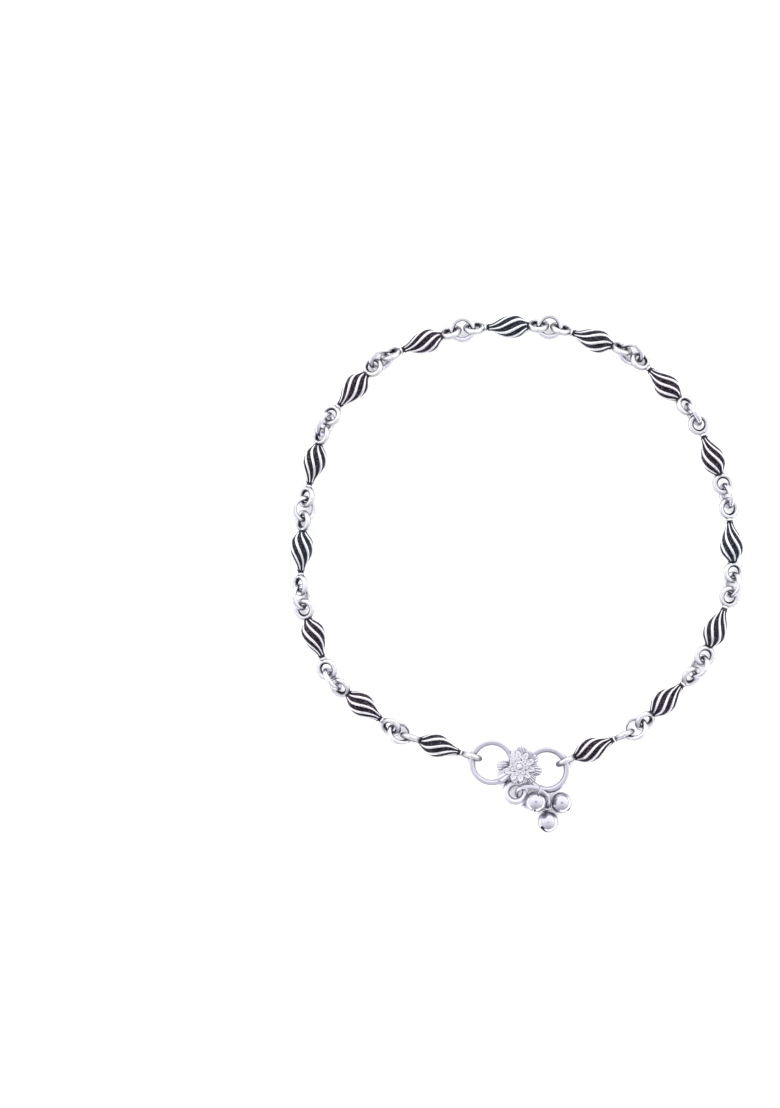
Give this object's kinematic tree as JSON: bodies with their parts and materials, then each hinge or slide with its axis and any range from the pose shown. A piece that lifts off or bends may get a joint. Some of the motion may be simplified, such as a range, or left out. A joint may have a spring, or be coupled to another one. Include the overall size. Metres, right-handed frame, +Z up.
{
  "type": "bead-link anklet",
  "caption": "Silver payal anklet of twisted ridged beads on round wire links, closed by a flower hook with small ghungroo bells, lying in a loop.",
  "frame": {"origin": "middle of the base of the anklet's box as it lies on the surface", "axes": "+Z up from the surface it lies on; +Y from the clasp across the loop to the far beads; +X to the right seen from above"},
  "size_m": [0.088, 0.1008, 0.0064],
  "materials": {
    "oxidised_silver": "cast silver with blackened grooves and ridges rubbed bright",
    "polished_silver": "polished silver wire and pressed sheet, softly tumbled",
    "cast_silver": "cast silver with fine petal relief, lightly darkened in the lines"
  },
  "bodies": {
    "root": {"bead_01": "oxidised_silver", "bead_02": "oxidised_silver", "bead_03": "oxidised_silver", "bead_04": "oxidised_silver", "bead_05": "oxidised_silver", "bead_06": "oxidised_silver", "bead_07": "oxidised_silver", "bead_08": "oxidised_silver", "bead_09": "oxidised_silver", "bead_10": "oxidised_silver", "bead_11": "oxidised_silver", "bead_12": "oxidised_silver", "bead_13": "oxidised_silver", "bead_14": "oxidised_silver", "bead_15": "oxidised_silver", "link_ring_01": "polished_silver", "link_ring_02": "polished_silver", "link_ring_03": "polished_silver", "link_ring_04": "polished_silver", "link_ring_05": "polished_silver", "link_ring_06": "polished_silver", "link_ring_07": "polished_silver", "link_ring_08": "polished_silver", "link_ring_09": "polished_silver", "link_ring_10": "polished_silver", "link_ring_11": "polished_silver", "link_ring_12": "polished_silver", "link_ring_13": "polished_silver", "link_ring_14": "polished_silver", "clasp_ring_left": "polished_silver", "clasp_ring_right": "polished_silver", "jump_ring": "polished_silver", "flower_hook": "cast_silver", "bell_01": "polished_silver", "bell_02": "polished_silver", "bell_03": "polished_silver"}
  },
  "joints": []
}
